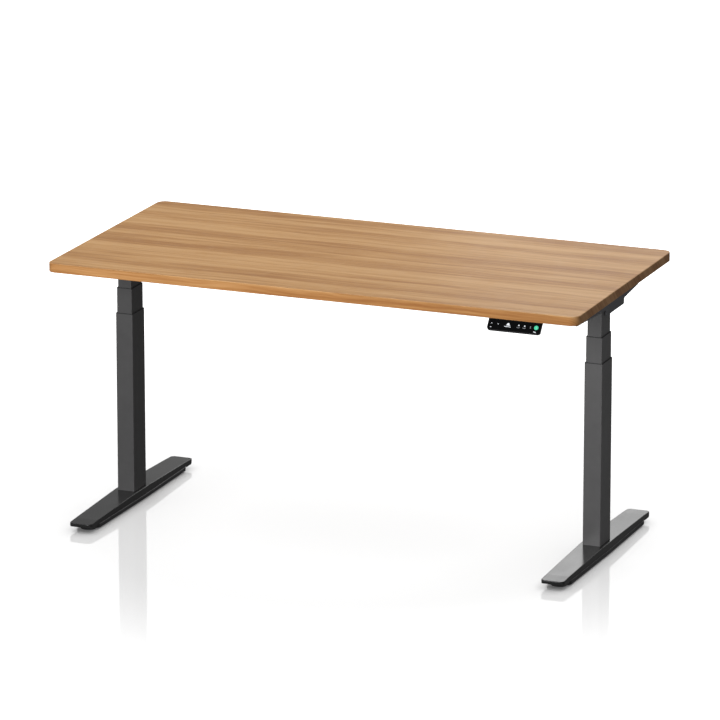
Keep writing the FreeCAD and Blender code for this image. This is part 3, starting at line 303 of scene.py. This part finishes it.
# ---------------------------------------------------------------------------------------
# Lift drive, closed inside the columns. A fixed screw stands in the foot, a threaded tube
# turns on it and carries the middle tube, and a hexagon shaft from the gearbox turns both.
# The screws are rolled and plated steel, the nut and the bearing block moulded acetal.
column_x = abs(sum(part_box("lower_tube_right"), Vector()).x) / 2
screw_lead = 5 * mm
screw_steel = plated_steel("rolled_screw_steel", (0.50, 0.50, 0.51), 0.24,
                           thread=(screw_lead, (column_x, 0.0)))
shaft_steel = plated_steel("drawn_shaft_steel", (0.46, 0.46, 0.47), 0.30)
acetal = moulded_plastic("white_acetal", (0.62, 0.61, 0.58), 0.38, dust=0.0)
finish_part(screw_steel, *both("fixed_screw", "drive_tube"))
finish_part(shaft_steel, *both("hex_shaft", "thrust_bearing"))
finish_part(acetal, *both("lift_nut", "bearing_block"))


# ---------------------------------------------------------------------------------------
# Gearboxes and motors. A die cast aluminium worm housing sits on top of each column, with a
# small direct current motor in a drawn steel can on its rear side, under a plastic cover.
cast_aluminium, tree, surface = new_material("die_cast_aluminium")
place = add_node(tree, "TexCoord", {}).outputs["Object"]
cast_skin = use_group(tree, skin_grain, {"Colour": (0.50, 0.50, 0.51, 1.0), "Tone": 0.25,
                                         "Grains per Metre": 700.0, "Waviness": 0.8})
flow = noise(tree, place, 70.0, 5.0, 0.7, (1.0, 0.3, 1.0))
flow_marks = span(tree, flow, 0.40, 0.70, 0.0, 0.45)
cast_colour = blend_colours(tree, flow_marks, cast_skin["Colour"], (0.30, 0.30, 0.31, 1.0))
tree.links.new(cast_colour, surface["Base Color"])
surface["Metallic"].default_value = 1.0
tree.links.new(maths(tree, "MULTIPLY_ADD", flow, 0.35, 0.30), surface["Roughness"])
raise_grain(tree, surface, cast_skin["Height"], 0.4, 0.15 * mm)
finish_part(cast_aluminium, *both("gearbox"))

motor_can, tree, surface = new_material("drawn_motor_can")
place = add_node(tree, "TexCoord", {}).outputs["Object"]
drawn = noise(tree, place, 900.0, 3.0, 0.6, (1.0, 0.03, 1.0))
drawn_colour = blend_colours(tree, drawn, (0.24, 0.24, 0.25, 1.0), (0.42, 0.42, 0.43, 1.0))
tree.links.new(drawn_colour, surface["Base Color"])
surface["Metallic"].default_value = 1.0
tree.links.new(maths(tree, "MULTIPLY_ADD", drawn, 0.25, 0.22), surface["Roughness"])
raise_grain(tree, surface, drawn, 0.2, 0.03 * mm)
finish_part(motor_can, *both("motor"))

cover_plastic = moulded_plastic("black_cover_plastic", (0.022, 0.022, 0.024), 0.46)
finish_part(cover_plastic, *both("motor_cover"))


# ---------------------------------------------------------------------------------------
# Top frame. Two folded steel side brackets, two rails that slide in sleeves to set the width,
# and the bolts and lock screws that hold them, all powder coated but for the zinc screws.
bracket_coat = powder_coat("bracket_powder_coat", (0.052, 0.053, 0.058), 0.44, dust=0.04)
finish_part(bracket_coat, "cross_rail_front", "cross_rail_rear",
            *both("side_bracket", "rail_sleeve"))
finish_part(bolt_zinc, "rail_bolts", "rail_lock_screws", "desktop_screws", "panel_screws")


# ---------------------------------------------------------------------------------------
# Desktop. A 25 mm particle board faced with printed wood-grain laminate. The grain runs the
# long way in broad soft bands with finer streaks in them, and the print wraps the edges.
top_low, top_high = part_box("desktop")
wood, tree, surface = new_material("walnut_print_laminate")
place = add_node(tree, "TexCoord", {}).outputs["Object"]
apart = add_node(tree, "SeparateXYZ", {"Vector": place}).outputs


def sway(scale, stretch, reach):
    """A slow sideways wander of the grain, at most half of reach to either side."""
    drift = noise(tree, place, scale, 2.0, 0.5, stretch)
    return maths(tree, "MULTIPLY", maths(tree, "SUBTRACT", drift, 0.5), reach)


wander = maths(tree, "ADD", sway(1.0, (1.7, 3.0, 0.0), 0.024), sway(1.0, (7.0, 16.0, 0.0), 0.010))
down_edge = maths(tree, "SUBTRACT", apart["Z"], top_high.z)
across = maths(tree, "ADD", maths(tree, "ADD", apart["Y"], down_edge), wander)
grain_place = add_node(tree, "CombineXYZ", {"X": apart["X"], "Y": across, "Z": 0.0}).outputs[0]

# Broad bands from the front edge to the rear one: how far back each lies, and how light it is.
wood_bands = [(0.0, 0.20), (0.012, 0.40), (0.075, 0.80), (0.125, 0.00), (0.165, 0.46),
              (0.20, 0.70), (0.23, 0.32), (0.27, 0.78), (0.35, 0.80), (0.41, 0.15),
              (0.47, 0.46), (0.53, 0.56), (0.61, 0.10), (0.68, 0.86), (0.74, 0.78),
              (0.805, 0.16), (0.87, 1.00), (0.945, 0.12), (1.0, 0.40)]
share = maths(tree, "DIVIDE", maths(tree, "SUBTRACT", across, top_low.y), top_high.y - top_low.y)
bands = add_node(tree, "ValToRGB", {"Fac": share})
bands.color_ramp.interpolation = "EASE"
for far, light in wood_bands[1:-1]:
    bands.color_ramp.elements.new(far)
for stop, (far, light) in zip(bands.color_ramp.elements, wood_bands):
    stop.position = far
    stop.color = (light, light, light, 1.0)

# Finer streaks over the bands, each scale narrower and shorter than the one before it.
streaks = (((1.2, 30.0, 1.0), 0.42), ((2.4, 80.0, 1.0), 0.46), ((6.0, 190.0, 1.0), 0.34),
           ((18.0, 620.0, 1.0), 0.16))
lightness = maths(tree, "MULTIPLY", bands.outputs[0], 0.62)
for stretch, weight in streaks:
    layer = span(tree, noise(tree, grain_place, 1.0, 2.5, 0.55, stretch), 0.30, 0.70)
    lightness = maths(tree, "MULTIPLY_ADD", layer, weight, lightness)
patch = noise(tree, place, 1.0, 2.0, 0.5, (2.2, 3.4, 0.0))
lightness = maths(tree, "MULTIPLY_ADD", maths(tree, "SUBTRACT", patch, 0.5), 0.30, lightness)
wood_dark = (0.355, 0.165, 0.056)
wood_middle = (0.485, 0.258, 0.098)
wood_light = (0.600, 0.355, 0.158)
tone = add_node(tree, "ValToRGB", {"Fac": span(tree, lightness, 0.30, 1.60)})
tone.color_ramp.elements[0].color = (*wood_dark, 1.0)
tone.color_ramp.elements[1].color = (*wood_light, 1.0)
tone.color_ramp.elements.new(0.5).color = (*wood_middle, 1.0)

# Pores: short dark dashes pressed a few hundredths of a millimetre into the laminate.
dashes = noise(tree, grain_place, 1.0, 1.0, 0.4, (55.0, 1500.0, 1.0))
in_dark_grain = span(tree, lightness, 1.05, 0.55, 0.25, 1.0)
pores = maths(tree, "MULTIPLY", span(tree, dashes, 0.62, 0.74), in_dark_grain)
pore_brown = (0.20, 0.09, 0.035, 1.0)
printed = blend_colours(tree, maths(tree, "MULTIPLY", pores, 0.35), tone.outputs[0], pore_brown)
# Painted shade: the print is made darker and redder on the board's edges and underside than on its
# top.
edge_painted_shade = span(tree, down_edge, -3.0 * mm, -1.5 * mm, 1.0, 0.0)
printed = blend_colours(tree, edge_painted_shade, printed, (0.97, 0.88, 0.82, 1.0), "MULTIPLY")
touched = use_group(tree, handling, {"Dust": 0.035, "Smears": 0.10})
dusty = blend_colours(tree, touched["Dust Mask"], printed, (0.62, 0.58, 0.52, 1.0))
tree.links.new(dusty, surface["Base Color"])
gloss = maths(tree, "ADD", maths(tree, "MULTIPLY_ADD", pores, 0.12, 0.38), touched["Gloss Change"])
tree.links.new(gloss, surface["Roughness"])
surface["Specular IOR Level"].default_value = 0.26
film = noise(tree, place, 1400.0, 2.0, 0.5)
relief = maths(tree, "MULTIPLY_ADD", pores, -1.0, maths(tree, "MULTIPLY", film, 0.35))
raise_grain(tree, surface, relief, 0.35, 0.05 * mm)
finish_part(wood, "desktop")


# ---------------------------------------------------------------------------------------
# Control box. A moulded cover screwed to a steel plate under the desktop, over one circuit
# board. It takes the mains inlet at one end and the sockets for the motors and the panel.
box_plastic = moulded_plastic("black_box_plastic", (0.024, 0.024, 0.026), 0.5, texture=0.45)
plate_coat = powder_coat("plate_powder_coat", (0.032, 0.032, 0.034), 0.42)
finish_part(box_plastic, "control_box_cover", "mains_inlet")
finish_part(plate_coat, "control_box_plate")

board_lacquer, tree, surface = new_material("green_circuit_board")
place = add_node(tree, "TexCoord", {}).outputs["Object"]
blocks = {"Vector": place, "Scale": 260.0, "Mortar Size": 0.04,
          "Color1": (0.010, 0.10, 0.045, 1.0), "Color2": (0.014, 0.13, 0.060, 1.0),
          "Mortar": (0.022, 0.19, 0.085, 1.0)}
tracks = add_node(tree, "TexBrick", blocks)
pads = add_node(tree, "TexVoronoi", {"Vector": place, "Scale": 190.0}).outputs["Distance"]
pad = span(tree, pads, 0.20, 0.14)
board_colour = blend_colours(tree, pad, tracks.outputs[0], (0.62, 0.60, 0.55, 1.0))
tree.links.new(board_colour, surface["Base Color"])
tree.links.new(pad, surface["Metallic"])
tree.links.new(blend_values(tree, pad, 0.22, 0.35), surface["Roughness"])
raise_grain(tree, surface, tracks.outputs["Fac"], 0.4, 0.05 * mm)
finish_part(board_lacquer, "control_board", "panel_board")


# ---------------------------------------------------------------------------------------
# Control panel. A moulded housing screwed under the front edge, with a sloping black glass
# front. The glass is printed black from behind and the touch marks shine through it.
panel_plastic = moulded_plastic("black_panel_plastic", (0.016, 0.016, 0.017), 0.34, texture=0.18)
finish_part(panel_plastic, "panel_housing")

glass, tree, surface = new_material("black_touch_glass")
place = add_node(tree, "TexCoord", {}).outputs["Object"]
touched = use_group(tree, handling, {"Dust": 0.03, "Smears": 0.10})
prints = span(tree, noise(tree, place, 120.0, 3.0, 0.6), 0.45, 0.75, 0.0, 0.10)
deep_black, thin_dust = (0.0015, 0.0015, 0.0018, 1.0), (0.05, 0.05, 0.05, 1.0)
deep = blend_colours(tree, touched["Dust Mask"], deep_black, thin_dust)
tree.links.new(deep, surface["Base Color"])
tree.links.new(maths(tree, "ADD", maths(tree, "ADD", prints, 0.10), touched["Gloss Change"]),
               surface["Roughness"])
surface["Specular IOR Level"].default_value = 0.14
ripples = noise(tree, place, 300.0, 2.0, 0.5)
raise_grain(tree, surface, ripples, 0.03, 0.02 * mm)
finish_part(glass, "panel_glass")

# The glass's front face: its middle, the way it faces and the way up it, read from the part.
glass_low, glass_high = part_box("panel_glass")
faces = [face for face in parts["panel_glass"].data.polygons if face.normal.y < 0 < face.normal.z]
front = max(faces, key=lambda face: face.area)
facing = front.normal.normalized()
up_glass = Vector((0, facing.z, -facing.y))
face_points = [parts["panel_glass"].data.vertices[v].co for v in front.vertices]
face_offset = face_points[0].dot(facing)
middle = Vector(((glass_low.x + glass_high.x) / 2, (glass_low.y + glass_high.y) / 2,
                 (glass_low.z + glass_high.z) / 2))
middle += facing * (face_offset - middle.dot(facing))
ink = 0.12 * mm


def on_glass(along, up):
    """A point on the glass, so many millimetres right of its left end and up from its middle."""
    left = middle - Vector(((glass_high.x - glass_low.x) / 2, 0, 0))
    return left + Vector((along * mm, 0, 0)) + up_glass * (up * mm)


def backlight(name, colour, strength):
    """Light through a print: an emission a little uneven, as from a lamp behind its middle."""
    material, tree, surface = new_material(name)
    place = add_node(tree, "TexCoord", {}).outputs["Object"]
    uneven = span(tree, noise(tree, place, 90.0, 2.0, 0.5), 0.3, 0.7, 0.78, 1.0)
    lit = add_node(tree, "VectorMath", {0: colour, "Scale": uneven}, operation="SCALE").outputs[0]
    tree.links.new(lit, surface["Emission Color"])
    surface["Emission Strength"].default_value = strength
    surface["Base Color"].default_value = (0.02, 0.02, 0.02, 1.0)
    surface["Roughness"].default_value = 0.25
    return material


white_light = backlight("white_backlight", (0.92, 0.96, 1.0), 1.0)
dim_light = backlight("dim_backlight", (0.30, 0.31, 0.33), 1.0)
green_light = backlight("green_backlight", (0.045, 0.62, 0.34), 1.25)


def ribbon(mesh, points, width):
    """A stroke of even width along points on the glass, with square ends and mitred turns."""
    rows = []
    for number, point in enumerate(points):
        before = points[max(number - 1, 0)]
        after = points[min(number + 1, len(points) - 1)]
        way = Vector((after[0] - before[0], after[1] - before[1])).normalized()
        side = Vector((-way.y, way.x)) * (width / 2)
        rows.append([mesh.verts.new(on_glass(point[0] + side.x * hand, point[1] + side.y * hand))
                     for hand in (1, -1)])
    for first, second in zip(rows, rows[1:]):
        mesh.faces.new((first[0], first[1], second[1], second[0]))


def arc(centre, radius, start, end, steps=10):
    """Points on an arc, its angles in degrees counted from the right."""
    turn = [math.radians(start + (end - start) * step / steps) for step in range(steps + 1)]
    return [(centre[0] + radius * math.cos(t), centre[1] + radius * math.sin(t)) for t in turn]


def disc(mesh, centre, radius):
    mesh.faces.new([mesh.verts.new(on_glass(*point)) for point in arc(centre, radius, 0, 350, 35)])


def panel_mark(name, material, strokes=(), width=0.8, discs=()):
    """One backlit print: strokes and discs on the glass, given a thin even thickness."""
    mesh = bmesh.new()
    for points in strokes:
        ribbon(mesh, points, width)
    for centre, radius in discs:
        disc(mesh, centre, radius)
    bmesh.ops.recalc_face_normals(mesh, faces=mesh.faces)
    for face in mesh.faces:
        if face.normal.dot(facing) < 0:
            face.normal_flip()
    data = bpy.data.meshes.new(name)
    mesh.to_mesh(data)
    mesh.free()
    data.materials.append(material)
    piece = bpy.data.objects.new(name, data)
    bpy.context.scene.collection.objects.link(piece)
    thicken = piece.modifiers.new("print_thickness", "SOLIDIFY")
    thicken.thickness = ink
    thicken.offset = 1.0
    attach(piece, "top")


# The marks, roughly from left to right, with their places and widths in millimetres.
panel_mark("mark_up", white_light, [[(8.7, 1.6), (10.6, 4.0), (12.5, 1.6)]], 1.0)
panel_mark("mark_memory", white_light, [[(8.4, -7.8), (11.6, -7.8)]], 2.0)
panel_mark("mark_down", white_light, [[(26.9, 3.4), (28.7, 1.0), (30.5, 3.4)]], 1.0)
panel_mark("mark_desk_and_user", white_light,
           [[(46.5, -2.6), (52.0, -3.2), (58.0, -2.8), (64.0, -3.6)],
            [(50.5, 1.2), (61.5, 1.2)]], 1.7, [((56.0, 3.6), 3.5)])
panel_mark("mark_sit", white_light, [], 0.9, [((85.2, 3.6), 2.0)])
panel_mark("mark_sit_arc", dim_light, [arc((84.4, 1.6), 5.0, 215, 325)], 1.3)
panel_mark("mark_stand", white_light, [[(101.2, 5.0), (101.2, 1.6)]], 1.6, [((101.2, 3.2), 1.8)])
panel_mark("mark_stand_arc", dim_light, [arc((100.4, 1.6), 5.0, 215, 325)], 1.3)
panel_mark("mark_reminder", dim_light,
           [[(117.4, 4.6), (117.4, 1.0)], [(115.8, -0.4), (119.0, -0.4)]], 1.5)
panel_mark("green_touch_spot", green_light, [], 0.8, [((133.2, 1.8), 5.9)])
panel_mark("mark_finger", white_light,
           [[(132.6, 3.4), (133.6, 3.6)], [(134.2, 3.0), (134.2, -0.8)]], 1.1)
panel_mark("mark_lock", white_light, [[(127.6, -9.8), (131.0, -10.4), (134.8, -11.6)]], 2.4)


# ---------------------------------------------------------------------------------------
# Studio. A pale seamless floor under a softbox overhead, one in front and one at the right
# for the right column. The desktop and the feet mirror panels behind them, and two more
# lights serve the floor alone.
floor_reach, floor_drop = 30, 0.0004
floor_mesh = bmesh.new()
corners = [floor_mesh.verts.new((x * floor_reach, y * floor_reach, -floor_drop))
           for x, y in ((-1, -1), (1, -1), (1, 1), (-1, 1))]
floor_mesh.faces.new(corners)
floor_data = bpy.data.meshes.new("studio_floor")
floor_mesh.to_mesh(floor_data)
floor = bpy.data.objects.new("studio_floor", floor_data)
bpy.context.scene.collection.objects.link(floor)

# Only the camera sees the polish near the desk and the glow round it. The light that the
# floor throws back on the desk is weak and even.
polish_from, polish_to, polish_gloss = 0.65, 1.50, 0.46
seen_paint, thrown_paint = (0.65, 0.65, 0.65, 1.0), (0.05, 0.05, 0.05, 1.0)
plain_glow, polished_glow, thrown_glow = 0.34, 0.09, 0.07
floor_paint, tree, surface = new_material("pale_floor")
place = add_node(tree, "TexCoord", {}).outputs["Object"]
far = add_node(tree, "VectorMath", {0: place}, operation="LENGTH").outputs["Value"]
polish = span(tree, far, polish_from, polish_to, 1.0, 0.0)
seen = add_node(tree, "LightPath", {}).outputs["Is Camera Ray"]
surface["Roughness"].default_value = 0.05
surface["IOR"].default_value = 1.45
surface["Emission Color"].default_value = (1.0, 1.0, 1.0, 1.0)
tree.links.new(blend_colours(tree, seen, thrown_paint, seen_paint), surface["Base Color"])
seen_polish = maths(tree, "MULTIPLY", polish, seen)
tree.links.new(maths(tree, "MULTIPLY", seen_polish, polish_gloss), surface["Specular IOR Level"])
near_glow = blend_values(tree, polish, plain_glow, polished_glow)
far_glow = span(tree, far, 1.4, 3.0, 0.0, 0.8)
# Painted light: the floor glows brighter under the desk, filling in the desk's shadow there.
painted_light_under_desk = span(tree, far, 0.35, 0.75, 0.09, 0.0)
glow = maths(tree, "ADD", maths(tree, "ADD", near_glow, far_glow), painted_light_under_desk)
tree.links.new(blend_values(tree, seen, thrown_glow, glow), surface["Emission Strength"])
floor_data.materials.append(floor_paint)


def group_of(title, things, state="INCLUDE"):
    """A collection that tells a light which things it lights, or which it leaves out."""
    group = bpy.data.collections.new(title)
    for thing in things:
        group.objects.link(thing)
    for entry in group.collection_objects:
        entry.light_linking.link_state = state
    return group


lit_floor = group_of("lit_floor", [floor])
all_but_floor = group_of("all_but_floor", [floor], "EXCLUDE")
lit_top = group_of("lit_top", [parts["desktop"]])
all_but_top = group_of("all_but_top", [floor, parts["desktop"]], "EXCLUDE")
feet = group_of("feet", [parts[name] for name in both(
    "foot_shell", "foot_tray", "levelling_glide_front", "levelling_glide_rear")])
right_column = group_of("right_column", [parts[name] for name in (
    "lower_tube_right", "middle_tube_right", "upper_tube_right", "lower_collar_right",
    "middle_collar_right", "side_bracket_right")])


def soft_light(name, spot, aim, size, power, lit=all_but_floor, shading=None):
    """An area light of size (wide, high) at spot, facing aim, for the things in lit.
    shading holds the only things that cast its shadow."""
    lamp = bpy.data.lights.new(name, "AREA")
    lamp.shape = "RECTANGLE"
    lamp.size, lamp.size_y = size
    lamp.energy = power
    holder = bpy.data.objects.new(name, lamp)
    bpy.context.scene.collection.objects.link(holder)
    holder.location = spot
    holder.rotation_euler = (Vector(aim) - Vector(spot)).to_track_quat("-Z", "Y").to_euler()
    holder.visible_camera = False
    holder.light_linking.receiver_collection = lit
    if shading:
        holder.light_linking.blocker_collection = shading
    return holder


soft_light("overhead_softbox", (-0.3, 0.3, 3.4), (0, 0, 0.5), (3.4, 2.2), 67)

# The front softbox is two lamps in one place: the desktop has its own, which it can't mirror.
front_setting = ((-0.6, -4.4, 1.4), (-0.3, 0, 0.4), (2.6, 2.0), 180)
soft_light("front_softbox", *front_setting, all_but_top)
no_glare = soft_light("front_softbox_for_top", *front_setting, lit_top)
no_glare.visible_glossy = False

soft_light("right_softbox", (2.2, -1.6, 0.5), (0.7, 0, 0.4), (0.8, 1.2), 22, right_column)
soft_light("rear_panel", (0.35, 3.0, 1.65), (0.5, 0, 0.8), (2.5, 0.9), 7.5)
soft_light("rear_low_panel", (-0.2, 3.0, 1.0), (0.5, 0, 0.3), (1.5, 1.2), 7.9, feet)
soft_light("rear_left_panel", (-2.1, 3.0, 1.0), (-0.6, 0, 0.3), (1.8, 1.2), 1.1, feet)
soft_light("floor_fill", (0, 0, 3.0), (0, 0, 0), (8.0, 8.0), 320, lit_floor, feet)
soft_light("floor_mirror_wall", (0.0, 6.0, 2.6), (0, 0, 2.6), (16.0, 5.4), 290, lit_floor)

# The world is white where the camera sees it, and dim as a light.
seen_white, dim_light_share = 1.0, 0.25
world = bpy.data.worlds.new("studio_world")
bpy.context.scene.world = world
world.use_nodes = True
tree = world.node_tree
seen = add_node(tree, "LightPath", {}).outputs["Is Camera Ray"]
sky = tree.nodes["Background"].inputs
sky["Color"].default_value = (1.0, 1.0, 1.0, 1.0)
tree.links.new(blend_values(tree, seen, dim_light_share, seen_white), sky["Strength"])

# The camera stands well back with a long lens, above the desk and to its right.
camera_place, camera_aim = (5.5576, -13.7946, 4.582), (-0.0014, -0.0006, 0.466)
lens = bpy.data.cameras.new("studio_camera")
lens.lens = 287.75
lens.sensor_width = 36.0
lens.clip_start, lens.clip_end = 0.1, 200.0
camera = bpy.data.objects.new("studio_camera", lens)
bpy.context.scene.collection.objects.link(camera)
camera.location = camera_place
camera.rotation_euler = (Vector(camera_aim) - camera.location).to_track_quat("-Z", "Y").to_euler()
bpy.context.scene.camera = camera
bpy.context.scene.view_settings.view_transform = "Standard"
